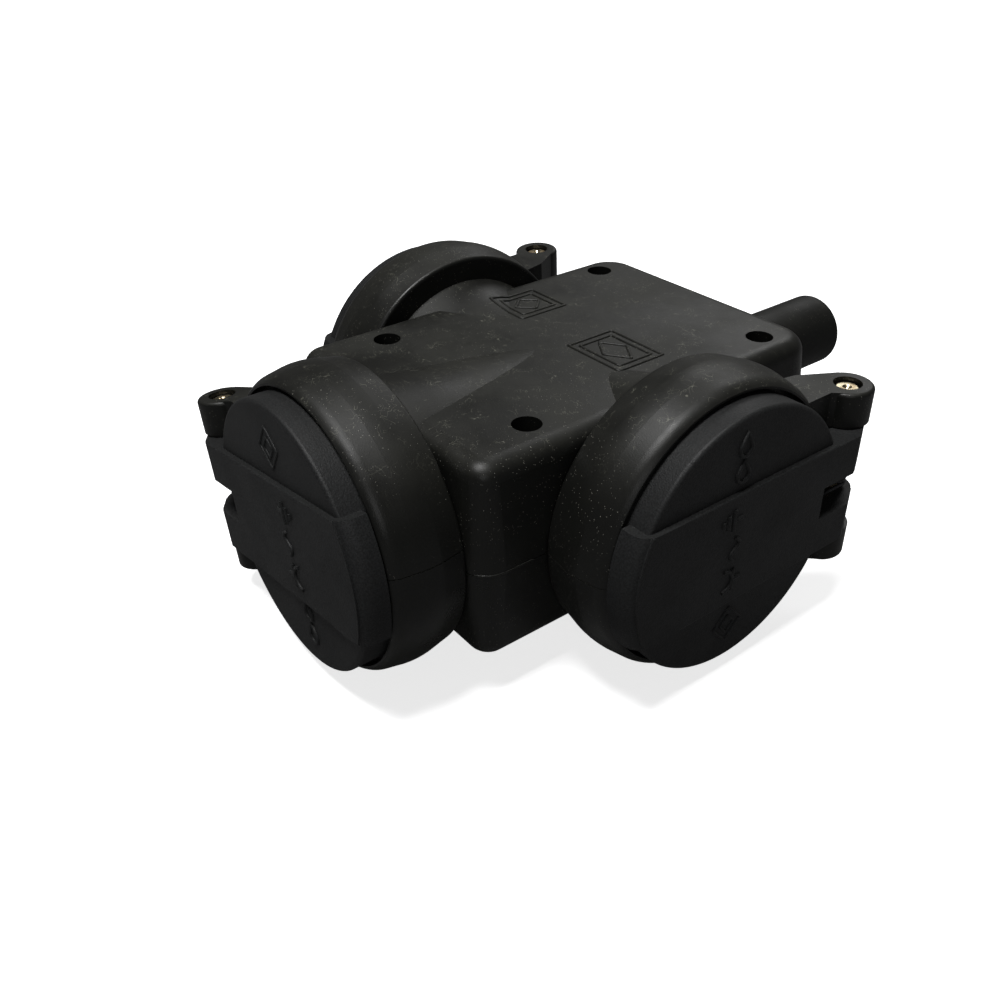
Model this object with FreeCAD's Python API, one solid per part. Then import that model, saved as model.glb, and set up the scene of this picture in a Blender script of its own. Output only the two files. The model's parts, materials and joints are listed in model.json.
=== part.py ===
import FreeCAD, Part
import math
import os

# Three-way rubber power distribution box, all sizes in millimetres.
# Working frame: the seam between the two half shells is z = 0, the two side
# sockets share the axis y = 0, the cable leaves along +Y, sockets look to
# +X, -X and -Y. save() moves everything into the part frame at the end.

# ---- driving dimensions -------------------------------------------------
BODY_HALF_X = 32.3          # half width of the body at the seam
BODY_Y0 = -43.5             # front wall
BODY_Y1 = 44.8              # end wall, where the cable leaves
BODY_HALF_Z = 20.4          # half thickness of the body
DRAFT = 1.9                 # inward lean of the side walls over half a shell
CORNER_FRONT = 6.0
CORNER_REAR = 9.0
EDGE_ROUND = 3.6
WALL = 3.0

COLLAR_REAR = 31.9          # distances are measured along a socket axis
COLLAR_FRONT = 46.5
COLLAR_R = 29.5
BARREL_R = 23.4             # barrel that fades from the collar into the top
BARREL_R0 = 20.2            # its radius at the far end, just under the top face
BARREL_REACH = {"front": 49.0, "left": 20.0, "right": 20.0}
NECK_R = 21.7               # neck of the collar, held inside the barrel
NECK_BACK = 29.0
SEAT_R = 28.9               # shallow seat of the collar in the body wall
OPEN_R = 27.1               # opening the lid drops into
LIP_FRONT = 43.6
LIP_R = 24.2
FLANGE_BACK = 39.0
FLANGE_FRONT = 42.0
FLANGE_R = 25.5
TWIST = {"front": 9.8, "left": -2.0, "right": 0.0}   # degrees, hinge side down
FRONT_SHIFT = 11.1          # how much further out the front socket sits

RECESS_R = 19.5             # plug recess, 39 mm across
RECESS_FLOOR = 24.5
MOUTH_R = 20.0              # shallow step at the mouth of the recess
MOUTH_BACK = 39.6
CUP_R = 20.6
CUP_STEP = 23.3             # behind this the cup is narrower, under the flat top
CUP_REAR_R = 19.3
CUP_BACK = 20.9
PIN_PITCH = 19.0
PIN_HOLE_R = 2.5

LID_R = 26.2
LID_BACK = 44.4
LID_FACE = 51.2
BAND_FACE = 52.3
BAND_HALF = 11.7
TAB_R = 27.9
TAB_BACK = 46.9

HINGE_X = 45.6
HINGE_Y = 32.6
PIN_R = 1.6
RUN_GAP = 0.05              # radial running clearance of the lid on its pin
KNUCKLE_R = 4.2
KNUCKLE_HALF = 11.5
NOTCH_HALF = 3.4
BOSS_R = 5.0
BOSS_Z0 = 11.8
BOSS_Z1 = 18.8
PIN_HEAD_Z = 15.4            # floor of the counterbore the pin head sits in

SPRING_R = 2.6
SPRING_WIRE_R = 0.42
SPRING_PITCH = 1.05
SPRING_HALF_TURNS = 9

SLEEVE_R = 8.5
SLEEVE_END = 84.0
SLEEVE_BORE = 5.5

SCREWS = [(22.6, -25.4), (-22.6, -25.4), (23.8, 33.0), (-23.8, 33.0)]
SCREW_SEAT = 3.0
SCREW_HOLE_R = 2.75

Y_SHIFT = -(SLEEVE_END - BAND_FACE - FRONT_SHIFT) / 2
Z_SHIFT = COLLAR_R

V = FreeCAD.Vector
SOCKETS = ("front", "left", "right")


# ---- small helpers ------------------------------------------------------
def box(x0, x1, y0, y1, z0, z1):
    return Part.makeBox(x1 - x0, y1 - y0, z1 - z0, V(x0, y0, z0))


def cyl_x(r, x0, x1, y=0.0, z=0.0):
    return Part.makeCylinder(r, x1 - x0, V(x0, y, z), V(1, 0, 0))


def cyl_y(r, y0, y1, x=0.0, z=0.0):
    return Part.makeCylinder(r, y1 - y0, V(x, y0, z), V(0, 1, 0))


def cyl_z(r, z0, z1, x=0.0, y=0.0):
    return Part.makeCylinder(r, z1 - z0, V(x, y, z0), V(0, 0, 1))


def prism(points, z0, z1):
    wire = Part.makePolygon([V(x, y, z0) for x, y in points + points[:1]])
    return Part.Face(wire).extrude(V(0, 0, z1 - z0))


def fuse(shapes):
    return shapes[0].multiFuse(shapes[1:]).removeSplitter()


def cut(shape, tools):
    return shape.cut(Part.makeCompound(tools))


def revolved(edges):
    """Turn a closed profile in the x-y plane (y is the radius) about X."""
    wire = Part.Wire(Part.__sortEdges__(edges))
    return Part.Face(wire).revolve(V(0, 0, 0), V(1, 0, 0), 360)


def line(a, b):
    return Part.makeLine(V(a[0], a[1], 0), V(b[0], b[1], 0))


def arc(a, b, c):
    return Part.Arc(V(a[0], a[1], 0), V(b[0], b[1], 0), V(c[0], c[1], 0)).toShape()


def rounded(shape, radius, test):
    """Fillet the edges whose bounding box passes the test."""
    edges = [e for e in shape.Edges if test(e.BoundBox, e)]
    return shape.makeFillet(radius, edges) if edges else shape


def at_socket(shape, side):
    """Move a shape from the right socket's frame to the named socket."""
    if side == "right":
        return shape.copy()
    if side == "left":
        return shape.mirror(V(0, 0, 0), V(1, 0, 0))
    turned = shape.mirror(V(0, 0, 0), V(0, 1, 0))
    turned.rotate(V(0, 0, 0), V(0, 0, 1), -90)
    turned.translate(V(0, -FRONT_SHIFT, 0))
    return turned


def at_collar(shape, side):
    """Like at_socket, for what turns with the collar about the socket axis."""
    turned = shape.copy()
    turned.rotate(V(0, 0, 0), V(1, 0, 0), -TWIST[side])
    return at_socket(turned, side)


def save(node, shape):
    shape = shape.copy()
    shape.translate(V(0, Y_SHIFT, Z_SHIFT))
    if not shape.isValid():
        raise ValueError(node + " is not a valid shape")
    shape.exportStep("parts/" + node + ".step")
    print(node, "solids", len(shape.Solids), "volume", round(shape.Volume))


# ---- housing ------------------------------------------------------------
def outline(inset, z):
    """Plan of the body with rounded corners, moved in by inset."""
    hx = BODY_HALF_X - inset
    y0 = BODY_Y0 + inset
    y1 = BODY_Y1 - inset
    corners = [(hx, y0, CORNER_FRONT, 1, -1), (hx, y1, CORNER_REAR, 1, 1),
               (-hx, y1, CORNER_REAR, -1, 1), (-hx, y0, CORNER_FRONT, -1, -1)]
    arcs = []
    for cx, cy, full, sx, sy in corners:
        r = max(full - inset, 1.0)
        mid = V(cx - sx * r, cy - sy * r, z)
        a0 = V(mid.x, mid.y + sy * r, z)
        a1 = V(mid.x + sx * r, mid.y, z)
        am = mid + V(sx * r * math.sqrt(0.5), sy * r * math.sqrt(0.5), 0)
        if sx * sy > 0:
            a0, a1 = a1, a0
        arcs.append((a0, am, a1))
    edges = []
    for i, (a0, am, a1) in enumerate(arcs):
        edges.append(Part.Arc(a0, am, a1).toShape())
        edges.append(Part.makeLine(a1, arcs[(i + 1) % 4][0]))
    return Part.Wire(edges)


def block(inset, edge_round):
    """Body block, drafted up and down from the seam."""
    top_z = BODY_HALF_Z - inset
    lean = DRAFT * top_z / BODY_HALF_Z
    upper = Part.makeLoft([outline(inset, 0), outline(inset + lean, top_z)], True, True)
    if edge_round:
        upper = rounded(upper, edge_round, lambda b, e: b.ZMin > top_z - 0.01)
    lower = upper.mirror(V(0, 0, 0), V(0, 0, 1))
    return upper.fuse(lower)


def barrel(inset, reach):
    """Round swelling that stands proud of the body top and fades inwards.

    Its radius follows a hyperbola, so its edges on the flat top run straight
    together to a point instead of ending in a blunt tongue.
    """
    spread = math.sqrt(BARREL_R ** 2 - BARREL_R0 ** 2)
    steps = 8
    points = []
    for i in range(steps + 1):
        t = i / steps
        points.append(V(COLLAR_REAR - reach * (1 - t),
                        math.hypot(BARREL_R0, spread * t) - inset, 0))
    curve = Part.BSplineCurve()
    curve.interpolate(points)
    first, last = points[0], points[-1]
    return revolved([curve.toShape(), line((last.x, last.y), (last.x, 0)),
                     line((last.x, 0), (first.x, 0)), line((first.x, 0), (first.x, first.y))])


def seam_slab(half_gap):
    return box(-70, 70, -70, 70, -half_gap, half_gap)


def housing():
    outer = [block(0, EDGE_ROUND)]
    hollow = [block(WALL, 0)]
    for side in SOCKETS:
        reach = BARREL_REACH[side]
        outer.append(at_socket(barrel(0, reach), side))
        hollow.append(at_socket(barrel(WALL, reach), side))
    solid = fuse(outer)
    cavity = fuse(hollow)

    posts = [cyl_z(5.4, -BODY_HALF_Z + 1, BODY_HALF_Z - 1, x, y) for x, y in SCREWS]
    posts.append(box(-13.5, 13.5, 28.0, 34.0, -BODY_HALF_Z + 1, 0))
    solid = solid.cut(cut(cavity, posts))

    plan = Part.Face(outline(0.55, -1)).extrude(V(0, 0, 2))
    tools = [seam_slab(0.10).cut(plan)]
    for side in SOCKETS:
        bores = [cyl_x(CUP_REAR_R + 0.05, 19.6, CUP_STEP), cyl_x(CUP_R + 0.05, CUP_STEP - 0.05, 40),
                 cyl_x(NECK_R + 0.05, NECK_BACK - 0.05, 40), cyl_x(SEAT_R, COLLAR_REAR, 40)]
        tools += [at_socket(bore, side) for bore in bores]
    for x, y in SCREWS:
        tools += [cyl_z(SCREW_HOLE_R, SCREW_SEAT, 40, x, y),
                  cyl_z(1.7, 0, SCREW_SEAT + 1, x, y), cyl_z(1.5, -15, 1, x, y)]
    tools += [cyl_y(SLEEVE_R, 35, 60), cyl_y(11.0, 36, BODY_Y1 - WALL), cyl_y(5.2, 20, 38)]
    tools += [cyl_z(1.3, -9, 1, x, 31) for x in (-10, 10)]
    solid = cut(solid, tools)
    upper = solid.common(box(-80, 80, -80, 80, 0, 40))
    lower = solid.common(box(-80, 80, -80, 80, -40, 0))
    return upper, lower


# ---- socket collar ------------------------------------------------------
def collar_ring():
    """Turned rubber ring around the socket mouth with its neck, not bored."""
    edges = [line((NECK_BACK, 0), (NECK_BACK, NECK_R)), line((NECK_BACK, NECK_R), (COLLAR_REAR, NECK_R)),
             line((COLLAR_REAR, NECK_R), (COLLAR_REAR, 27.7)),
             arc((COLLAR_REAR, 27.7), (32.15, 28.3), (32.7, 28.55)),
             line((32.7, 28.55), (37.0, 29.36)),
             arc((37.0, 29.36), (39.0, COLLAR_R), (41.0, 29.36)),
             line((41.0, 29.36), (44.3, 28.75)),
             arc((44.3, 28.75), (45.7, 28.2), (COLLAR_FRONT, 27.5)),
             line((COLLAR_FRONT, 27.5), (COLLAR_FRONT, 0)),
             line((COLLAR_FRONT, 0), (NECK_BACK, 0))]
    return revolved(edges)


def hinge_boss():
    """Upper pin boss on its web, standing on the collar."""
    web = prism([(36.0, 20.0), (37.4, 27.5), (41.8, 35.0), (HINGE_X, HINGE_Y),
                 (49.2, 30.0), (46.2, 27.0), (46.2, 20.0)], BOSS_Z0, BOSS_Z1)
    boss = cyl_z(BOSS_R, BOSS_Z0, BOSS_Z1, HINGE_X, HINGE_Y)
    boss = rounded(boss, 0.8, lambda b, e: b.ZMin > BOSS_Z1 - 0.01)
    return fuse([web, boss])


def socket_collar():
    boss = hinge_boss()
    solid = fuse([collar_ring(), boss, boss.mirror(V(0, 0, 0), V(0, 0, 1))])
    mould_line = seam_slab(0.07).cut(prism(
        [(20, -28.0), (33, -28.25), (37, -29.1), (41, -29.1), (44.2, -28.5), (45.9, -27.6),
         (45.9, 27.6), (44.2, 28.5), (41, 29.1), (37, 29.1), (33, 28.25), (20, 28.0)], -1, 1))
    return cut(solid, [mould_line, cyl_x(CUP_R + 0.06, 20, LIP_FRONT),
                       cyl_x(FLANGE_R + 0.05, FLANGE_BACK, FLANGE_FRONT),
                       cyl_x(LIP_R, FLANGE_FRONT - 0.1, LIP_FRONT + 0.1),
                       cyl_x(OPEN_R, LIP_FRONT, COLLAR_FRONT + 1),
                       cyl_z(PIN_R, -16.5, 16.0, HINGE_X, HINGE_Y),
                       cyl_z(2.7, PIN_HEAD_Z, BOSS_Z1 + 1, HINGE_X, HINGE_Y)])


# ---- fixed parts --------------------------------------------------------
def cross_screw(head_r, head_h, shank_r, length, slot):
    """Screw along -Z with its head seat at z = 0."""
    head = cyl_z(head_r, 0, head_h)
    head = rounded(head, head_h * 0.25, lambda b, e: b.ZMin > head_h - 0.01)
    screw = fuse([head, cyl_z(shank_r, -length, 0)])
    depth = head_h * 0.55
    bars = [box(-slot, slot, -0.45, 0.45, head_h - depth, head_h + 1),
            box(-0.45, 0.45, -slot, slot, head_h - depth, head_h + 1)]
    return cut(screw, bars)


def placed(shape, x, y, z):
    shape = shape.copy()
    shape.translate(V(x, y, z))
    return shape


def socket_insert():
    flange = cyl_x(FLANGE_R, FLANGE_BACK, FLANGE_FRONT)
    cup = fuse([cyl_x(CUP_R, CUP_STEP, FLANGE_FRONT), cyl_x(CUP_REAR_R, CUP_BACK, FLANGE_FRONT)])
    half = PIN_PITCH / 2
    guides = [cyl_x(4.4, 14.9, CUP_BACK + 0.5, y) for y in (-half, half)]
    insert = cut(fuse([flange, cup] + guides),
                 [cyl_x(RECESS_R, RECESS_FLOOR, 45), cyl_x(MOUTH_R, MOUTH_BACK, 45)])
    ribs = []
    for sign in (-1, 1):
        rib = box(RECESS_FLOOR - 0.5, MOUTH_BACK, 17.7, 20.0, -2.6, 2.6)
        ribs.append(rib if sign > 0 else rib.mirror(V(0, 0, 0), V(0, 1, 0)))
    insert = fuse([insert] + ribs)
    tools = []
    for y in (-half, half):
        tools += [cyl_x(3.2, 14.0, CUP_BACK, y), cyl_x(PIN_HOLE_R, CUP_BACK - 1, 26, y)]
        tools.append(Part.makeCone(PIN_HOLE_R, PIN_HOLE_R + 0.9, 0.9,
                                   V(RECESS_FLOOR - 0.9, y, 0), V(1, 0, 0)))
    for z0 in (17.5, -18.5):
        tools.append(box(CUP_BACK - 1, 26, -3.1, 3.1, z0, z0 + 1.0))
    return cut(insert, tools)


def contact(sign, up):
    """Contact sleeve for one plug pin with the lug that carries the bar."""
    y = sign * PIN_PITCH / 2
    top = 5.0 * up
    lug = box(9.4, 12.0, y - 1.5, y + 1.5, min(0, top), max(0, top))
    tube = fuse([cyl_x(3.2, 8.9, CUP_BACK, y), lug])
    tools = [cyl_x(2.4, 11.0, CUP_BACK + 1, y), cyl_x(1.2, 8, 12, y)]
    tools.append(box(13.5, CUP_BACK + 1, y - 4, y + 4, -0.35, 0.35))
    return cut(tube, tools)


def earth_clips():
    """U strap behind the cup with two sprung fingers in the recess."""
    strap = box(20.1, CUP_BACK, -3.0, 3.0, -18.4, 18.4)
    parts = [strap]
    outer = [(20.5, 18.4), (27.5, 18.4), (32.0, 16.9), (34.0, 16.9), (38.2, 18.6)]
    for sign in (-1, 1):
        top = [V(x, -2.6, sign * z) for x, z in outer]
        low = [V(x, -2.6, sign * (z - 0.8)) for x, z in reversed(outer)]
        wire = Part.makePolygon(top + low + top[:1])
        parts.append(Part.Face(wire).extrude(V(0, 5.2, 0)))
    return fuse(parts)


def busbar(strips, z0, z1, hole):
    plates = [box(x0, x1, y0, y1, z0, z1) for x0, x1, y0, y1 in strips]
    return cut(fuse(plates), [cyl_z(1.6, z0 - 1, z1 + 1, hole[0], hole[1])])


def terminal(x, z0, z1):
    """Brass clamp block with a wire hole and a threaded screw hole."""
    block_ = box(x - 4.0, x + 4.0, 18.0, 26.0, z0, z1)
    mid = (z0 + z1) / 2
    return cut(block_, [cyl_y(1.7, 17, 27, x, mid), cyl_z(1.5, mid, z1 + 1, x, 22.0)])


def hinge_pin():
    top = PIN_HEAD_Z + 2.6
    shaft = cyl_z(PIN_R, -16.5, PIN_HEAD_Z + 0.4, HINGE_X, HINGE_Y)
    head = cyl_z(2.25, PIN_HEAD_Z, top, HINGE_X, HINGE_Y)
    head = rounded(head, 0.4, lambda b, e: b.ZMin > top - 0.01)
    dimple = Part.makeCone(0.0, 0.9, 0.7, V(HINGE_X, HINGE_Y, top - 0.69), V(0, 0, 1))
    return fuse([shaft, head]).cut(dimple)


def lid_spring():
    """Torsion spring around the pin, one leg in the lid, one on the collar.

    Every half turn is half a torus whose tilt takes it up by half the pitch,
    so the wire runs on smoothly from one half turn to the next.
    """
    height = SPRING_HALF_TURNS * SPRING_PITCH / 2
    parts = [cyl_y(SPRING_WIRE_R, -5.8, 0, SPRING_R, 0),
             cyl_y(SPRING_WIRE_R, -3.6, 0, -SPRING_R, height)]
    for k in range(SPRING_HALF_TURNS):
        sign = 1 - 2 * (k % 2)
        start = V(sign * SPRING_R, 0, k * SPRING_PITCH / 2)
        centre = V(0, 0, (k + 0.5) * SPRING_PITCH / 2)
        axis = (start - centre).cross(V(0, sign, 0))
        wire = Part.Wire(Part.makeCircle(SPRING_WIRE_R, start, V(0, 1, 0)))
        parts.append(Part.Face(wire).revolve(centre, axis, 180))
    return placed(parts[0].multiFuse(parts[1:]), HINGE_X, HINGE_Y, -height / 2)


# ---- lids ---------------------------------------------------------------
def lid():
    disc = cyl_x(LID_R, LID_BACK, LID_FACE)
    disc = rounded(disc, 0.8, lambda b, e: b.XMin > LID_FACE - 0.01)
    band = box(48.0, BAND_FACE, -30, 30, -BAND_HALF, BAND_HALF)
    band = band.common(cyl_x(LID_R, 40, 60))
    band = rounded(band, 0.4, lambda b, e: b.XMin > BAND_FACE - 0.01 and b.YLength > 40)
    tab = box(TAB_BACK, BAND_FACE, -30, -15, -BAND_HALF, BAND_HALF)
    tab = tab.common(cyl_x(TAB_R, 40, 60))
    tab = rounded(tab, 3.2, lambda b, e: b.YMax < -20 and b.XMin > BAND_FACE - 0.01)
    arm = prism([(TAB_BACK, 20.0), (TAB_BACK, 29.4), (HINGE_X, HINGE_Y), (49.4, 34.7),
                 (BAND_FACE - 0.5, 30.6), (BAND_FACE, 29.4), (BAND_FACE, 20.0)],
                -KNUCKLE_HALF, KNUCKLE_HALF)
    knuckle = cyl_z(KNUCKLE_R, -KNUCKLE_HALF, KNUCKLE_HALF, HINGE_X, HINGE_Y)
    whole = fuse([disc, band, tab, arm, knuckle])
    notch = prism([(40, 28.0), (47.4, 27.0), (60, 11.5), (60, 40), (40, 40)],
                  -NOTCH_HALF, NOTCH_HALF)
    bore = cyl_z(PIN_R + RUN_GAP, -20, 20, HINGE_X, HINGE_Y)
    groove = cyl_x(25.7, LID_BACK - 1, 46.0).cut(cyl_x(24.3, LID_BACK - 2, 47))
    hollow = cyl_x(18.0, LID_BACK - 1, 47.4)
    leg = cyl_y(0.6, 24.8, 28, HINGE_X + SPRING_R, -SPRING_HALF_TURNS * SPRING_PITCH / 4)
    return cut(whole, [notch, bore, groove, hollow, leg])


def lid_seal():
    ring = cyl_x(25.7, 43.9, 46.0).cut(cyl_x(24.3, 43, 47))
    return rounded(ring, 0.35, lambda b, e: b.XMax < 43.91)


# ---- build --------------------------------------------------------------
def build():
    os.makedirs("parts", exist_ok=True)
    upper, lower = housing()
    save("upper_shell", upper)
    save("lower_shell", lower)
    screw = cross_screw(2.5, 2.2, 1.5, 18.0, 1.5)
    save("housing_screws", Part.makeCompound([placed(screw, x, y, SCREW_SEAT) for x, y in SCREWS]))

    sleeve = fuse([cyl_y(SLEEVE_R, 38.0, SLEEVE_END), cyl_y(11.0, 38.6, BODY_Y1 - WALL)])
    sleeve = sleeve.cut(cyl_y(SLEEVE_BORE, 37, SLEEVE_END + 1))
    sleeve = rounded(sleeve, 1.2, lambda b, e: b.YMin > SLEEVE_END - 0.01 and b.XLength > 15)
    save("cable_sleeve", sleeve)

    clamp = cut(box(-13.5, 13.5, 28.0, 34.0, 0, 8.0),
                [cyl_y(5.2, 20, 38), cyl_z(1.5, -1, 9, -10, 31), cyl_z(1.5, -1, 9, 10, 31)])
    clamp = rounded(clamp, 1.2, lambda b, e: b.ZMin > 7.9 and b.XLength > 20)
    save("cord_clamp", clamp)
    small = cross_screw(2.4, 1.8, 1.3, 16.0, 1.2)
    save("cord_clamp_screws", Part.makeCompound([placed(small, x, 31, 8.0) for x in (-10, 10)]))

    bars = {"live_busbar": ([(-12, 12, 7, 12), (7, 12, -23.1, 26)], 5.0, 6.0, (9.5, 22)),
            "neutral_busbar": ([(-12, 12, -12, -7), (-12, -7, -23.1, 26)], -6.0, -5.0, (-9.5, 22)),
            "earth_busbar": ([(-20.1, 20.1, -2.5, 2.5), (-2.5, 2.5, -31.2, 26)], -0.5, 0.5, (0, 24))}
    for node, (strips, z0, z1, hole) in bars.items():
        save(node, busbar(strips, z0, z1, hole))
    blocks = [terminal(9.5, -2.0, 5.0), terminal(0.0, 0.5, 7.5), terminal(-9.5, -5.0, 2.0)]
    save("terminal_blocks", Part.makeCompound(blocks))
    clamp_screw = cross_screw(2.3, 1.6, 1.5, 3.0, 1.1)
    spots = [(9.5, 6.0), (0.0, 7.5), (-9.5, 2.0)]
    save("terminal_screws", Part.makeCompound([placed(clamp_screw, x, 22, z) for x, z in spots]))

    for side in SOCKETS:
        save(side + "_socket_collar", at_collar(socket_collar(), side))
        save(side + "_socket_insert", at_socket(socket_insert(), side))
        save(side + "_earth_clips", at_socket(earth_clips(), side))
        live = -1 if side == "front" else 1
        save(side + "_line_contact", at_socket(contact(live, 1), side))
        save(side + "_neutral_contact", at_socket(contact(-live, -1), side))
        save(side + "_hinge_pin", at_collar(hinge_pin(), side))
        save(side + "_lid_spring", at_collar(lid_spring(), side))
        save(side + "_lid", at_collar(lid(), side))
        save(side + "_lid_seal", at_collar(lid_seal(), side))


build()
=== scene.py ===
# %% [markdown]
# # A rubber three-way power distribution box
# The box is a pair of black rubber half shells with three round sockets under sprung flap lids. The hard
# parts come from the CAD frame and keep their shape, because they have to fit and move. What is made here
# is their finish, the raised marks of the mould, the light and the camera. The first cell loads the frame
# and measures it before anything is added.

# %% Load the frame
import json
import math
import bpy
from mathutils import Matrix, Vector
from mathutils.bvhtree import BVHTree


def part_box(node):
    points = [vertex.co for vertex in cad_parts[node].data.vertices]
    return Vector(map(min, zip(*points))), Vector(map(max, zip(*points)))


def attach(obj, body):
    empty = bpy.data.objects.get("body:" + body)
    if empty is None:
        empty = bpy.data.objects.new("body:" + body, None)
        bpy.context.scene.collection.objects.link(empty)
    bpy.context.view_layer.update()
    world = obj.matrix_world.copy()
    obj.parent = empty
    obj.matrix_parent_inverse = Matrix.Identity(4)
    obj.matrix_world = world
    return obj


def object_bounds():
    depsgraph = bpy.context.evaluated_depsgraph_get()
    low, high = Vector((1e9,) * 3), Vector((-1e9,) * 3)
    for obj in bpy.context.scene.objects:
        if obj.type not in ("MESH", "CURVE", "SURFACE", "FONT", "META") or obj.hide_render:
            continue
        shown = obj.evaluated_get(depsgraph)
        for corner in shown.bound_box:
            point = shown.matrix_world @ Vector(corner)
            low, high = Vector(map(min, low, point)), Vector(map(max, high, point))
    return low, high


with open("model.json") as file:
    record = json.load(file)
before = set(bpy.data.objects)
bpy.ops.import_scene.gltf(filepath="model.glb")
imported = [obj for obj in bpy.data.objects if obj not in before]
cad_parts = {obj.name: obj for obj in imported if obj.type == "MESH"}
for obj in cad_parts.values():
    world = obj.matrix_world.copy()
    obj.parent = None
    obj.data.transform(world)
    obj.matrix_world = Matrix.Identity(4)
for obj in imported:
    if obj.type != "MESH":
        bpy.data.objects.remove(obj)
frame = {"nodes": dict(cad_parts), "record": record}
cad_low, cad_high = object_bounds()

NODES = frame["nodes"]
SIDES = ("front", "left", "right")
MM = 0.001
print("frame", len(NODES), "nodes", [round(v, 4) for v in (*cad_low, *cad_high)])

# %% [markdown]
# ## Shader helpers
# On a real part, grain, dust and wear have one size wherever they are. Painted image maps would need UV
# maps and would stretch, so every finish here is a small node tree that reads Object coordinates. They are
# in metres, so a scale is a number of bumps or cells per metre. A few short helpers keep the trees
# readable: one adds a node, one makes noise, one turns a value into a mask, one mixes two colours by a
# mask.

# %% Shader helpers
class Finish:
    """One material and short ways to add nodes to it."""

    def __init__(self, name, colour, rough, metallic=0.0, specular=0.5):
        self.mat = bpy.data.materials.new(name)
        self.mat.use_nodes = True
        self.tree = self.mat.node_tree
        self.shader = self.tree.nodes["Principled BSDF"]
        self.shader.inputs["Base Color"].default_value = (*colour, 1)
        self.shader.inputs["Roughness"].default_value = rough
        self.shader.inputs["Metallic"].default_value = metallic
        self.shader.inputs["Specular IOR Level"].default_value = specular
        source = self.tree.nodes.new("ShaderNodeTexCoord")
        self.coords, self.normal = source.outputs["Object"], source.outputs["Normal"]

    def add(self, kind, **settings):
        node = self.tree.nodes.new(kind)
        for name, value in settings.items():
            setattr(node, name, value)
        return node

    def link(self, source, target):
        self.tree.links.new(source, target)

    def stretched(self, scale, turn=(0, 0, 0)):
        """Object coordinates scaled per axis, for streaks and scratches."""
        node = self.add("ShaderNodeMapping")
        node.inputs["Scale"].default_value = scale
        node.inputs["Rotation"].default_value = turn
        self.link(self.coords, node.inputs["Vector"])
        return node.outputs["Vector"]

    def noise(self, scale, detail=4.0, rough=0.55, coords=None):
        node = self.add("ShaderNodeTexNoise")
        node.inputs["Scale"].default_value = scale
        node.inputs["Detail"].default_value = detail
        node.inputs["Roughness"].default_value = rough
        self.link(coords or self.coords, node.inputs["Vector"])
        return node.outputs["Fac"]

    def ramp(self, value, low, high, out_low=0.0, out_high=1.0):
        """Turn low..high into out_low..out_high, softly at both ends."""
        node = self.add("ShaderNodeMapRange", interpolation_type="SMOOTHSTEP")
        node.inputs["From Min"].default_value = low
        node.inputs["From Max"].default_value = high
        node.inputs["To Min"].default_value = out_low
        node.inputs["To Max"].default_value = out_high
        self.link(value, node.inputs["Value"])
        return node.outputs["Result"]

    def maths(self, operation, a, b):
        node = self.add("ShaderNodeMath", operation=operation)
        for socket, value in zip(node.inputs, (a, b)):
            if isinstance(value, (int, float)):
                socket.default_value = value
            else:
                self.link(value, socket)
        return node.outputs["Value"]

    def times(self, first, *others):
        """Several values or masks multiplied together."""
        for other in others:
            first = self.maths("MULTIPLY", first, other)
        return first

    def mix(self, mask, colour_a, colour_b):
        node = self.add("ShaderNodeMix", data_type="RGBA")
        self.link(mask, node.inputs["Factor"])
        for socket, value in ((node.inputs["A"], colour_a), (node.inputs["B"], colour_b)):
            if isinstance(value, tuple):
                socket.default_value = (*value, 1)
            else:
                self.link(value, socket)
        return node.outputs["Result"]

    def bump(self, height, distance, strength, below=None):
        """Press a height of so many metres into the surface, on top of another bump if one is given."""
        node = self.add("ShaderNodeBump")
        node.inputs["Strength"].default_value = strength
        node.inputs["Distance"].default_value = distance
        self.link(height, node.inputs["Height"])
        if below:
            self.link(below, node.inputs["Normal"])
        self.link(node.outputs["Normal"], self.shader.inputs["Normal"])
        return node.outputs["Normal"]

    def colour(self, value):
        self.link(value, self.shader.inputs["Base Color"])

    def roughness(self, value):
        self.link(value, self.shader.inputs["Roughness"])


# %% [markdown]
# ## Rubber
# The shells are moulded from rubber filled with carbon black. It is nearly black and only softly glossy, so
# its reflections are weak and wide. The mould leaves a very fine grain. Use leaves the rest, and each kind
# of wear gets a mask of its own, white where the wear is:
# - dust settles on what faces up, so one mask is the direction of the surface;
# - dust grains are one dot in each cell of a Voronoi texture, kept in a share of the cells;
# - hair-like rubs are thin level lines of a slow noise, which curl as hairs do;
# - scratches are a noise stretched along one direction.

# %% Masks for dust and wear
def facing_up(f):
    """1 where the surface faces up, 0 on its sides and underneath."""
    node = f.add("ShaderNodeSeparateXYZ")
    f.link(f.normal, node.inputs["Vector"])
    return f.ramp(node.outputs["Z"], 0.35, 0.92)


def specks(f, cells, size, share):
    """Tiny dots: one in each cell, kept in the given share of cells."""
    node = f.add("ShaderNodeTexVoronoi")
    node.inputs["Scale"].default_value = cells
    f.link(f.coords, node.inputs["Vector"])
    dot = f.ramp(node.outputs["Distance"], size * 0.6, size, 1, 0)
    split = f.add("ShaderNodeSeparateColor")
    f.link(node.outputs["Color"], split.inputs["Color"])
    return f.times(dot, f.maths("LESS_THAN", split.outputs["Red"], share))


def hairs(f, scale, width):
    """Thin curling lines: where a slow noise passes its middle value."""
    off = f.maths("ABSOLUTE", f.maths("SUBTRACT", f.noise(scale, detail=1), 0.5), 0)
    return f.ramp(off, width * 0.4, width, 1, 0)


def patches(f, scale, low, high):
    """Soft-edged patches that keep wear from being the same everywhere."""
    return f.ramp(f.noise(scale, detail=2), low, high)


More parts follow.
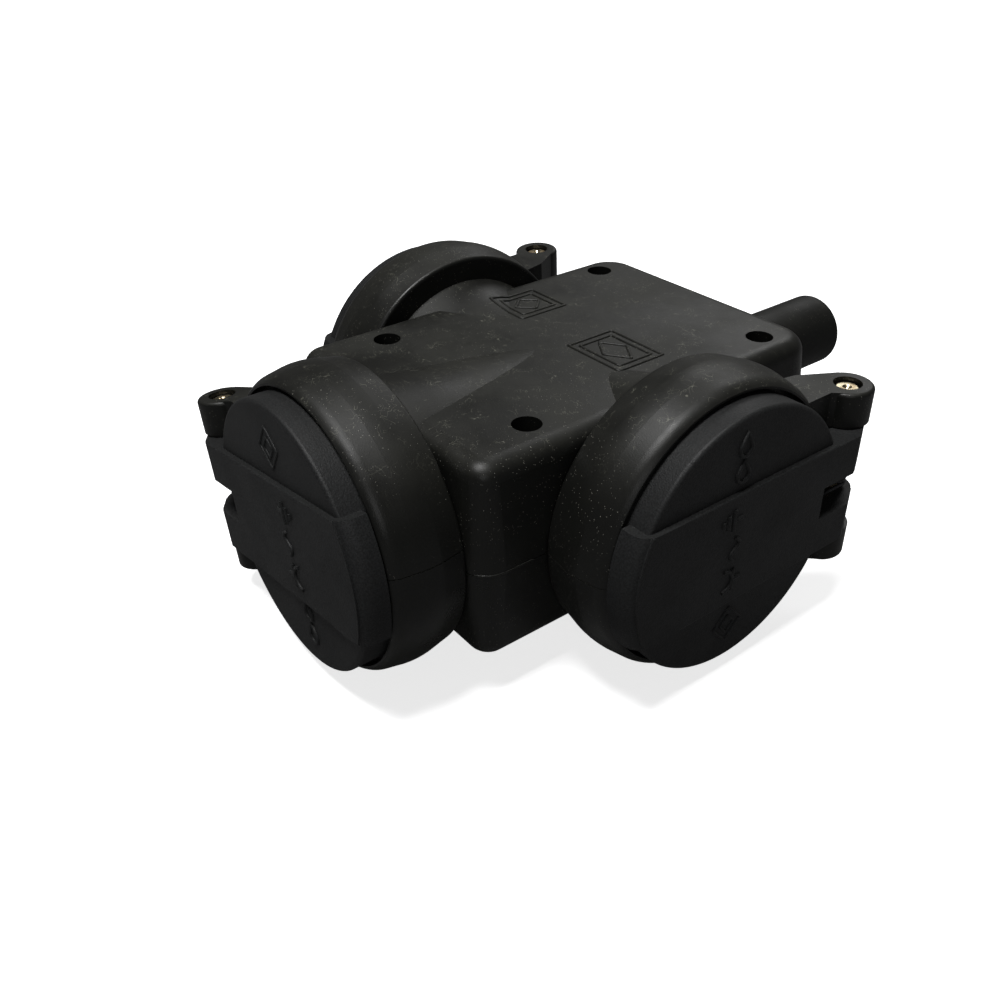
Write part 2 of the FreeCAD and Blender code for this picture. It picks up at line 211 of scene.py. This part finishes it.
def rub_marks(f, up, amount):
    """Short pieces of curling hairs, and a few straight scratches, on the faces that get touched."""
    curls = f.maths("ADD", hairs(f, 330, 0.0050), hairs(f, 600, 0.0063))
    rubbed = f.times(curls, patches(f, 260, 0.53, 0.62))
    along_scratch = f.stretched((2600, 90, 2600), turn=(0.3, 0.2, 0.9))
    scratches = f.ramp(f.noise(1.0, detail=2, coords=along_scratch), 0.70, 0.74)
    scratched = f.times(scratches, patches(f, 33, 0.52, 0.62))
    return f.times(f.maths("ADD", rubbed, scratched), up, up, amount)


# %% [markdown]
# ### The rubber recipe
# The recipe stacks these layers in the order in which the real ones came: black rubber, a grey bloom that
# has risen in patches, the grain, the rubs and last the dust. Bloom and dust also dull the surface, so they
# raise the roughness too. The lids come from a mould with a coarser, sharper grain and stay cleaner, so the
# same recipe is used with other amounts.

# %% Rubber
DUST = (0.40, 0.39, 0.34)
BLOOM = (0.024, 0.024, 0.0195)
RUBBED = (0.15, 0.15, 0.12)
GRAIN_DEPTH = 0.09 * MM
WAVE_DEPTH = 0.4 * MM
GRAIN_LIFT = 2.6
RUB_STRENGTH = 0.65


def rubber(name, colour, rough, grain, dust, rubs, gloss=0.34, mottle=0.15, tooth=0.22):
    """Moulded rubber: grain in mm, dust, rubs and the tooth of the grain as amounts from 0 to 1."""
    f = Finish(name, colour, rough, specular=gloss)
    fine = f.noise(1 / (grain * MM), detail=2)
    waves = f.bump(f.noise(70, detail=3), WAVE_DEPTH, 0.22)
    f.bump(fine, GRAIN_DEPTH, tooth, waves)
    up = facing_up(f)
    settled = f.maths("ADD", f.times(up, 0.85), 0.15)
    bloom = f.ramp(f.noise(42, detail=7, rough=0.66), 0.30, 0.72, 0.25, 1.0)
    bloomed = f.mix(f.times(bloom, settled, 0.8 * dust), colour, BLOOM)
    light_grain = tuple(GRAIN_LIFT * c for c in colour)
    grained = f.mix(f.ramp(fine, 0.35, 0.65, 0.0, mottle), bloomed, light_grain)
    marked = f.mix(rub_marks(f, up, RUB_STRENGTH * rubs), grained, RUBBED)
    dots = f.maths("ADD", specks(f, 2100, 0.145, 0.55), specks(f, 800, 0.075, 0.32))
    dusty = f.ramp(f.noise(48, detail=4, rough=0.7), 0.43, 0.60, 0.04, 0.75)
    f.colour(f.mix(f.times(dots, dusty, dust), marked, DUST))
    worn = f.ramp(f.noise(55, detail=6), 0.3, 0.75, rough - 0.04, rough + 0.10)
    f.roughness(f.maths("ADD", worn, f.times(bloom, up, 0.22 * dust)))
    return f.mat


BLACK = (0.0045, 0.0046, 0.0042)
LID_BLACK = (0.0105, 0.0108, 0.0110)
SEAL_BLACK = (0.010, 0.010, 0.010)
shell_rubber = rubber("shell_rubber", BLACK, 0.31, grain=0.22, dust=1.0, rubs=1.0)
lid_rubber = rubber("lid_rubber", LID_BLACK, 0.50, grain=0.30, dust=0.14, rubs=0.1, gloss=0.26,
                    mottle=0.5, tooth=0.8)
sleeve_rubber = rubber("sleeve_rubber", BLACK, 0.46, grain=0.24, dust=0.35, rubs=0.4, gloss=0.2)
seal_rubber = rubber("seal_rubber", SEAL_BLACK, 0.55, grain=0.12, dust=0.2, rubs=0.0)
rubber_finishes = (shell_rubber, lid_rubber, sleeve_rubber, seal_rubber)
print("rubber finishes", [m.name for m in rubber_finishes])

# %% [markdown]
# ## Hard plastic and metal
# The socket cups are thermoset, duller than rubber and dead black. The contacts are drawn brass that has
# dulled, the hinge pins have a paler brass end, the screws are plated steel and the lid springs are dark
# spring steel. Drawn and turned metal both carry fine lines, so the metal recipe stretches its noise: a small
# scale along the lines and a large one across them.

# %% Plastic and metal
PLASTIC_GRAIN_DEPTH = 0.03 * MM
TOOL_LINE_DEPTH = 0.02 * MM
LEVEL_LINES = (60, 60, 2600)
UPRIGHT_LINES = (2600, 2600, 60)


def plastic(name, colour, rough):
    """Moulded plastic: a fine grain and slightly paler patches."""
    f = Finish(name, colour, rough, specular=0.4)
    f.bump(f.noise(2500, detail=2), PLASTIC_GRAIN_DEPTH, 0.4)
    paler = tuple(c * 1.7 for c in colour)
    f.colour(f.mix(f.ramp(f.noise(70), 0.4, 0.7, 0.0, 0.5), colour, paler))
    f.roughness(f.ramp(f.noise(120, detail=5), 0.3, 0.7, rough - 0.06, rough + 0.1))
    return f.mat


def metal(name, colour, tarnish, rough, lines):
    """Metal with fine tool lines, and darker tarnish in patches."""
    f = Finish(name, colour, rough, metallic=1.0)
    f.bump(f.noise(1.0, detail=3, coords=f.stretched(lines)), TOOL_LINE_DEPTH, 0.5)
    f.colour(f.mix(f.ramp(f.noise(380, detail=6), 0.42, 0.68), colour, tarnish))
    f.roughness(f.ramp(f.noise(500, detail=4), 0.3, 0.7, rough - 0.08, rough + 0.18))
    return f.mat


insert_plastic = plastic("insert_plastic", (0.018, 0.018, 0.019), 0.5)
clamp_plastic = plastic("clamp_plastic", (0.04, 0.04, 0.042), 0.48)
contact_brass = metal("contact_brass", (0.76, 0.58, 0.27), (0.42, 0.28, 0.12), 0.32, LEVEL_LINES)
pin_brass = metal("pin_brass", (0.80, 0.71, 0.50), (0.52, 0.40, 0.24), 0.26, UPRIGHT_LINES)
screw_steel = metal("screw_steel", (0.38, 0.38, 0.38), (0.12, 0.11, 0.10), 0.38, UPRIGHT_LINES)
spring_steel = metal("spring_steel", (0.10, 0.10, 0.105), (0.035, 0.035, 0.037), 0.30, LEVEL_LINES)
hard_finishes = (insert_plastic, clamp_plastic, contact_brass, pin_brass, screw_steel, spring_steel)
print("hard finishes", [m.name for m in hard_finishes])

# %% [markdown]
# ## Dress the parts
# The frame says which finish each part has, by the name of its material slot. Putting the finish in the
# slot leaves the mesh as the CAD made it, which a new object with a copied mesh would risk.

# %% Give every part its finish
FINISHES = {m.name.split(".")[0]: m for m in rubber_finishes + hard_finishes}


def dress(node, finish):
    """Put one finish on every material slot of a CAD part."""
    data = NODES[node].data
    if not data.materials:
        data.materials.append(finish)
    for index in range(len(data.materials)):
        data.materials[index] = finish


for part in frame["record"]["subparts"]:
    dress(part["node"], FINISHES[part["material_slot"]])

# %% [markdown]
# ## Raised marks of the mould
# The mould raises a few outlines on the top and the lids. Here they are plain generic ones: two framed
# diamonds on the top, and on each lid a diamond, three general electrical signs and two drops. They could
# be cut into the meshes, but the marks all share one round bead, so each is a path of points that one
# Geometry Nodes tree turns into a low bead. Its radius, its sides and its finish are named inputs, so every
# mark uses the same tree.

# %% The bead tree
def bead_tree():
    """Path edges in, a round bead out, with its radius and finish as inputs."""
    tree = bpy.data.node_groups.new("moulded_bead", "GeometryNodeTree")
    face = tree.interface
    face.new_socket("Geometry", in_out="INPUT", socket_type="NodeSocketGeometry")
    face.new_socket("Bead Radius", in_out="INPUT", socket_type="NodeSocketFloat")
    face.new_socket("Bead Sides", in_out="INPUT", socket_type="NodeSocketInt")
    face.new_socket("Finish", in_out="INPUT", socket_type="NodeSocketMaterial")
    face.new_socket("Geometry", in_out="OUTPUT", socket_type="NodeSocketGeometry")
    new = tree.nodes.new
    start, end = new("NodeGroupInput"), new("NodeGroupOutput")
    to_curve, circle = new("GeometryNodeMeshToCurve"), new("GeometryNodeCurvePrimitiveCircle")
    sweep = new("GeometryNodeCurveToMesh")
    realize, finish = new("GeometryNodeRealizeInstances"), new("GeometryNodeSetMaterial")
    sweep.inputs["Fill Caps"].default_value = True
    for a, b in ((start.outputs["Geometry"], to_curve.inputs["Mesh"]),
                 (start.outputs["Bead Radius"], circle.inputs["Radius"]),
                 (start.outputs["Bead Sides"], circle.inputs["Resolution"]),
                 (to_curve.outputs["Curve"], sweep.inputs["Curve"]),
                 (circle.outputs["Curve"], sweep.inputs["Profile Curve"]),
                 (sweep.outputs["Mesh"], realize.inputs["Geometry"]),
                 (realize.outputs["Geometry"], finish.inputs["Geometry"]),
                 (start.outputs["Finish"], finish.inputs["Material"]),
                 (finish.outputs["Geometry"], end.inputs["Geometry"])):
        tree.links.new(a, b)
    return tree


BEAD = bead_tree()
print("bead tree", len(BEAD.nodes), "nodes")

# %% [markdown]
# ### From paths to a piece
# A set of paths is one mesh of points and edges with the tree as its modifier. Once its inputs are set, the
# result is taken as a plain mesh and the modifier goes, so the piece rides its body like any other part.

# %% Make a bead piece
BEAD_SIDES = 8


def set_input(modifier, name, value):
    """Set a tree's input by the identifier of its socket."""
    for item in modifier.node_group.interface.items_tree:
        if item.item_type == "SOCKET" and item.in_out == "INPUT" and item.name == name:
            modifier[item.identifier] = value


def path_mesh(name, paths):
    """All the paths as points and edges in one mesh."""
    verts, edges = [], []
    for points, closed in paths:
        first = len(verts)
        verts += points
        edges += [(first + i, first + i + 1) for i in range(len(points) - 1)]
        if closed:
            edges.append((first + len(points) - 1, first))
    mesh = bpy.data.meshes.new(name + "_path")
    mesh.from_pydata([tuple(v) for v in verts], edges, [])
    return mesh


def beaded(name, paths, radius, finish, body):
    """Sweep a bead along closed or open paths and make it a plain mesh on a body."""
    obj = bpy.data.objects.new(name, path_mesh(name, paths))
    bpy.context.scene.collection.objects.link(obj)
    modifier = obj.modifiers.new("bead", "NODES")
    modifier.node_group = BEAD
    set_input(modifier, "Bead Radius", radius)
    set_input(modifier, "Bead Sides", BEAD_SIDES)
    set_input(modifier, "Finish", finish)
    bpy.context.view_layer.update()
    solid = bpy.data.meshes.new_from_object(obj.evaluated_get(bpy.context.evaluated_depsgraph_get()))
    obj.modifiers.clear()
    obj.data = solid
    for polygon in solid.polygons:
        polygon.use_smooth = True
    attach(obj, body)
    print(name, len(solid.polygons), "faces")


# %% [markdown]
# ### Outlines
# An outline is drawn flat, in millimetres, from its corners and arcs, with enough points between them to
# follow a curved face. An outline is a list of paths, and a path is its points with True if it closes on
# itself.

# %% Outline helpers
POINT_STEP = 0.8


def along(corners, closed=True):
    """Points every step along straight runs between corners."""
    ends = corners[1:] + corners[:1] if closed else corners[1:]
    points = []
    for (x0, y0), (x1, y1) in zip(corners, ends):
        count = max(1, round(math.hypot(x1 - x0, y1 - y0) / POINT_STEP))
        points += [(x0 + (x1 - x0) * i / count, y0 + (y1 - y0) * i / count) for i in range(count)]
    return points if closed else points + [corners[-1]]


def stroke(*corners):
    """One open path along straight runs."""
    return along(list(corners), closed=False), False


def arc(cx, cy, r, start, end, count):
    """Points on a circle from one angle in degrees to another."""
    angles = [math.radians(start + (end - start) * i / count) for i in range(count + 1)]
    return [(cx + r * math.cos(a), cy + r * math.sin(a)) for a in angles]


def diamond(cx, cy, half_w, half_h):
    return along([(cx - half_w, cy), (cx, cy + half_h), (cx + half_w, cy), (cx, cy - half_h)]), True


def rectangle(cx, cy, half_w, half_h):
    return along([(cx - half_w, cy - half_h), (cx + half_w, cy - half_h),
                  (cx + half_w, cy + half_h), (cx - half_w, cy + half_h)]), True


# %% [markdown]
# ### General signs
# Electrical goods carry signs that belong to nobody: socket outlet, alternating current, earth and a drop
# for splash-proof. Each is a few strokes, sized by one number, so a bigger or smaller one keeps its
# proportions.

# %% Signs
def outlet_sign(cx, cy, size):
    """Socket outlet: a half ring under a bar, with a stem."""
    return [(arc(cx, cy, size, 0, 180, 12), False),
            stroke((cx, cy + size), (cx, cy + 1.9 * size)),
            stroke((cx - size, cy + size), (cx + size, cy + size))]


def wave_sign(cx, cy, size):
    """Alternating current: one wave."""
    turns = [2 * math.pi * i / 12 for i in range(13)]
    return [([(cx + size * (t / math.pi - 1), cy + 0.4 * size * math.sin(t)) for t in turns], False)]


def earth_sign(cx, cy, size):
    """Earth: a stem on three shorter and shorter bars."""
    bars = [(w * size, cy - 0.6 * i * size) for i, w in enumerate((1.0, 0.62, 0.25))]
    return [stroke((cx - w, y), (cx + w, y)) for w, y in bars] + [stroke((cx, cy), (cx, cy + size))]


def drop_sign(cx, cy, size):
    """A drop: most of a circle, closed by a point above it."""
    return [(arc(cx, cy, size, -215, 35, 14) + [(cx, cy + 2.1 * size)], True)]


# %% [markdown]
# ### Drop an outline on the rubber
# The top and the lids aren't quite flat, so a flat outline would float or sink. Instead a ray goes in from
# outside at each point, and the point lands where the ray meets the rubber. A ray can slip through exactly
# between two triangles, so each has a near neighbour as a second try.

# %% Drop helpers
SECOND_TRY = (0.013, 0.007)


def surface(node):
    """A CAD part's mesh, ready for rays."""
    data = NODES[node].data
    return BVHTree.FromPolygons([v.co for v in data.vertices], [p.vertices for p in data.polygons])


def landing(tree, place, inward, u, v):
    near_u, near_v = u + SECOND_TRY[0], v + SECOND_TRY[1]
    return tree.ray_cast(place(u, v), inward)[0] or tree.ray_cast(place(near_u, near_v), inward)[0]


def dropped(paths, tree, place, inward, sink):
    """Drop flat outlines on a surface: place() gives a start point outside it."""
    return [([landing(tree, place, inward, u, v) + inward * sink for u, v in points], closed)
            for points, closed in paths]


# %% [markdown]
# ### Marks on the top
# Two frames lie across the flat of the top shell, each with a second frame and a diamond inside. They are
# placed from the point where the axes of the three sockets cross, which is found from the box and from the
# seal of a side lid.

# %% Marks on the top
TOP_BEAD_R = 0.38 * MM
TOP_SINK = 0.08 * MM
RAY_START = 10 * MM
INNER_FRAME, INNER_DIAMOND = 1.6, 2.6
seal_low, seal_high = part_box("right_lid_seal")
crossing = Vector(((cad_low[0] + cad_high[0]) / 2, seal_low[1] / 2 + seal_high[1] / 2, 0))


def over_top(u, v):
    return crossing + Vector((u * MM, v * MM, cad_high[2] + RAY_START))


def frame_mark(cx, cy, half_w, half_h):
    """Two frames, one in the other, round a small diamond."""
    return [rectangle(cx, cy, half_w, half_h),
            rectangle(cx, cy, half_w - INNER_FRAME, half_h - INNER_FRAME),
            diamond(cx, cy, half_w - INNER_DIAMOND, half_h - INNER_DIAMOND)]


top_paths = frame_mark(10.3, 6.5, 7.3, 5.7) + frame_mark(-18.8, 7.8, 5.6, 5.8)
top_landed = dropped(top_paths, surface("upper_shell"), over_top, Vector((0, 0, -1)), TOP_SINK)
beaded("top_marks", top_landed, TOP_BEAD_R, shell_rubber, "housing")

# %% [markdown]
# ### Marks on the lids
# Each lid carries its marks in its own frame: u runs across its face to the hinge, v along the pin. The
# front lid is turned a little round the axis of its socket, so these directions come from its joint and are
# never assumed. The signs read along the raised band. The front lid has its diamond at the top and the side
# lids have it at the bottom.

# %% A lid's own frame
LOOK = {"front": Vector((0, -1, 0)), "left": Vector((-1, 0, 0)), "right": Vector((1, 0, 0))}
DIAMOND_WAY = {"front": 1, "left": -1, "right": -1}
LID_RAY_START = 30 * MM


def middle(node):
    low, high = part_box(node)
    return (Vector(low) + Vector(high)) / 2


lid_centre = {side: middle(side + "_lid_seal") for side in SIDES}
print("lid centres", {side: [round(v, 4) for v in centre] for side, centre in lid_centre.items()})


def lid_axes(side):
    """Directions across the lid to its hinge, and along its pin, from the joint itself."""
    joint = next(j for j in frame["record"]["behaviour"]["joints"] if j["name"] == side + "_lid_hinge")
    pin = -Vector(joint["axis"]) if joint["axis"][2] < 0 else Vector(joint["axis"])
    to_hinge = Vector(joint["pos_m"]) - lid_centre[side]
    to_hinge -= LOOK[side] * to_hinge.dot(LOOK[side])
    return to_hinge.normalized(), pin.normalized()


def turned(paths, du, dv):
    """Signs read along the band: turn them a quarter and move them."""
    return [([(y + du, -x + dv) for x, y in points], closed) for points, closed in paths]


# %% [markdown]
# The diamond is a fine double line and the signs are a bolder one, so each lid gets two pieces, with a bead
# radius of its own each. Both ride the lid's own body and swing with it.

# %% Marks on each lid
DIAMOND_BEAD_R, SIGN_BEAD_R = 0.30 * MM, 0.42 * MM
DIAMOND_SINK = 0.04 * MM
DIAMOND_U, DIAMOND_V = -1.0, 18.0
DROP_U, DROPS_V = -2.0, (-14.9, -20.0)


def lid_diamond(way):
    return [diamond(DIAMOND_U, DIAMOND_V * way, 3.6, 4.0), diamond(DIAMOND_U, DIAMOND_V * way, 1.8, 2.0)]


def lid_signs(way):
    signs = turned(earth_sign(0, 0, 2.2), -4.0, 7.0)
    signs += turned(wave_sign(0, 0, 2.4), -3.0, 0.6)
    signs += turned(outlet_sign(0, 0, 2.3), -5.0, -6.0)
    for v in DROPS_V:
        signs += drop_sign(DROP_U, v * way, 1.45)
    return signs


def lid_marks(side):
    """A diamond by one edge, three signs down the band and two drops by the other edge."""
    lid = surface(side + "_lid")
    centre, look = lid_centre[side], LOOK[side]
    across, up = lid_axes(side)
    way = DIAMOND_WAY[side]

    def place(u, v):
        return centre + across * (u * MM) + up * (v * MM) + look * LID_RAY_START

    fine = dropped(lid_diamond(way), lid, place, -look, DIAMOND_SINK)
    beaded(side + "_lid_diamond", fine, DIAMOND_BEAD_R, lid_rubber, side + "_cover")
    bold = dropped(lid_signs(way), lid, place, -look, 0.0)
    beaded(side + "_lid_signs", bold, SIGN_BEAD_R, lid_rubber, side + "_cover")


for side in SIDES:
    lid_marks(side)

# %% [markdown]
# ### Flash along the seam
# Where the two half shells meet, a thin thread of rubber squeezed out when they were moulded. It is a fine
# bead that sits in the seam groove, on the stretches of wall between the sockets. The path is the body's
# own outline at the height of the seam, found by looking inwards from outside, so it follows the wall and
# its corners.

# %% Seam flash
SEAM_Z = 29.5 * MM
BELOW_SEAM = 0.5 * MM
FLASH_SINK = 0.05 * MM
FLASH_R = 0.2 * MM
FAR_OUT = 120 * MM
DEGREE_STEP = 0.8
WALLS = ((-55, 14), (42, 46), (101, 46), (222, 16))
lower = surface("lower_shell")


def seam_path(first, count):
    """Points on the wall just under the seam, seen from outside at each angle."""
    points = []
    for i in range(count):
        a = math.radians(first + DEGREE_STEP * i)
        outward = Vector((math.cos(a), math.sin(a), 0))
        start = Vector((0, crossing[1], SEAM_Z - BELOW_SEAM)) + outward * FAR_OUT
        hit = lower.ray_cast(start, -outward)[0]
        if hit is not None:
            points.append(Vector((hit.x, hit.y, SEAM_Z)) - outward * FLASH_SINK)
    return points, False


beaded("seam_flash", [seam_path(*wall) for wall in WALLS], FLASH_R, shell_rubber, "housing")

# %% [markdown]
# ## Floor and room
# The box lies on a plain pale floor. Black rubber shows its form only through what it reflects, and a white
# floor would fill its sides with its own reflection. In a studio, black flags are laid round the set against
# that. Here the Light Path node does it: the floor counts as dark grey for light that bounces from it, and
# stays white to look at, a little lit from below as on a light table, so shadows stay faint. The room
# behind it is made the same way: pale to look at, dim to light with.

# %% Floor
FLOOR_HALF = 3.0
PAPER_DARK, PAPER_LIGHT = (0.92, 0.92, 0.92), (0.95, 0.95, 0.95)
FLAGGED = (0.11, 0.11, 0.11)
FLOOR_GLOW = 0.75


def floor_paper():
    f = Finish("floor_paper", PAPER_DARK, 0.9, specular=0.1)
    paper = f.mix(f.noise(3.0, detail=2), PAPER_DARK, PAPER_LIGHT)
    ray = f.add("ShaderNodeLightPath")
    bounced = f.maths("MAXIMUM", ray.outputs["Is Glossy Ray"], ray.outputs["Is Diffuse Ray"])
    f.colour(f.mix(bounced, paper, FLAGGED))
    f.shader.inputs["Emission Color"].default_value = (1, 1, 1, 1)
    f.link(f.times(f.maths("SUBTRACT", 1, bounced), FLOOR_GLOW), f.shader.inputs["Emission Strength"])
    return f.mat


def floor(half):
    mesh = bpy.data.meshes.new("floor")
    corners = [(-half, -half, 0), (half, -half, 0), (half, half, 0), (-half, half, 0)]
    mesh.from_pydata(corners, [], [(0, 1, 2, 3)])
    mesh.materials.append(floor_paper())
    obj = bpy.data.objects.new("floor", mesh)
    bpy.context.scene.collection.objects.link(obj)


floor(FLOOR_HALF)
print("floor", 2 * FLOOR_HALF, "m wide")

# %% [markdown]
# The room is the world's background. Its strength is linked to the kind of ray in the same way, with one node
# that turns "seen" or "bounced" into two strengths.

# %% Room
ROOM_SEEN, ROOM_LIGHT = 1.0, 0.055


def room():
    """World that looks pale but lights the scene only dimly."""
    world = bpy.data.worlds.new("studio")
    bpy.context.scene.world = world
    world.use_nodes = True
    tree = world.node_tree
    ray, bounced, level = (tree.nodes.new(kind) for kind in
                           ("ShaderNodeLightPath", "ShaderNodeMath", "ShaderNodeMapRange"))
    bounced.operation = "MAXIMUM"
    tree.links.new(ray.outputs["Is Glossy Ray"], bounced.inputs[0])
    tree.links.new(ray.outputs["Is Diffuse Ray"], bounced.inputs[1])
    level.inputs["To Min"].default_value, level.inputs["To Max"].default_value = ROOM_SEEN, ROOM_LIGHT
    tree.links.new(bounced.outputs["Value"], level.inputs["Value"])
    background = tree.nodes["Background"]
    background.inputs["Color"].default_value = (1, 1, 1, 1)
    tree.links.new(level.outputs["Result"], background.inputs["Strength"])


room()
bpy.context.scene.view_settings.view_transform = "Standard"
print("room seen at", ROOM_SEEN, "and lighting at", ROOM_LIGHT)

# %% [markdown]
# ## Light
# A soft square light hangs overhead, where its reflection runs along the shoulders of the collars. A weak
# fill lifts the lids and a wide back light draws the far edges. Sun lamps and points would put a small sharp
# spot on each shoulder. An area lamp's reflection is as wide as the lamp, so all three are area lamps, and
# all of them aim at the middle of the box.

# %% Light
AIM = Vector((0, 0, 0.03))


def lamp(name, place, size, power):
    """A rectangular area lamp, place and size in metres, power in watts."""
    data = bpy.data.lights.new(name, "AREA")
    data.shape = "RECTANGLE"
    data.size, data.size_y = size
    data.energy = power
    obj = bpy.data.objects.new(name, data)
    bpy.context.scene.collection.objects.link(obj)
    obj.location = place
    obj.rotation_euler = (AIM - Vector(place)).to_track_quat("-Z", "Y").to_euler()
    print("lamp", name, power, "W")


lamp("key", (0.0, -0.45, 1.9), (0.60, 0.60), 35)
lamp("fill", (1.0, -0.75, 0.7), (0.5, 0.5), 1.2)
lamp("back", (-0.9, 1.5, 1.3), (0.9, 0.6), 6)

# %% [markdown]
# ## Camera
# The camera stands close to the box, on its front right corner and above it. It is turned about the
# vertical, tilted down and rolled a little, and each of these is one angle. Building its axes from them is
# plainer than aiming at a target, because a target can't give the roll.

# %% Camera
CAMERA_AT = Vector((141.78, -130.38, 134.48)) * MM
TURN, TILT, ROLL = math.radians(53.36), math.radians(33.35), math.radians(-1.12)
FOCAL = 36.39
SENSOR = 36
NEAR_CLIP = 10 * MM


def camera_axes():
    """The camera's right, up and backward directions as a matrix."""
    back = Vector((math.sin(TURN) * math.cos(TILT), -math.cos(TURN) * math.cos(TILT), math.sin(TILT)))
    right = Vector((math.cos(TURN), math.sin(TURN), 0))
    up = back.cross(right)
    rolled_right = math.cos(ROLL) * right + math.sin(ROLL) * up
    rolled_up = math.cos(ROLL) * up - math.sin(ROLL) * right
    return Matrix((rolled_right, rolled_up, back)).transposed().to_4x4()


def camera():
    data = bpy.data.cameras.new("camera")
    data.lens = FOCAL
    data.sensor_width = SENSOR
    data.clip_start = NEAR_CLIP
    obj = bpy.data.objects.new("camera", data)
    bpy.context.scene.collection.objects.link(obj)
    obj.matrix_world = Matrix.Translation(CAMERA_AT) @ camera_axes()
    bpy.context.scene.camera = obj


camera()
print("camera at", [round(v, 3) for v in CAMERA_AT])
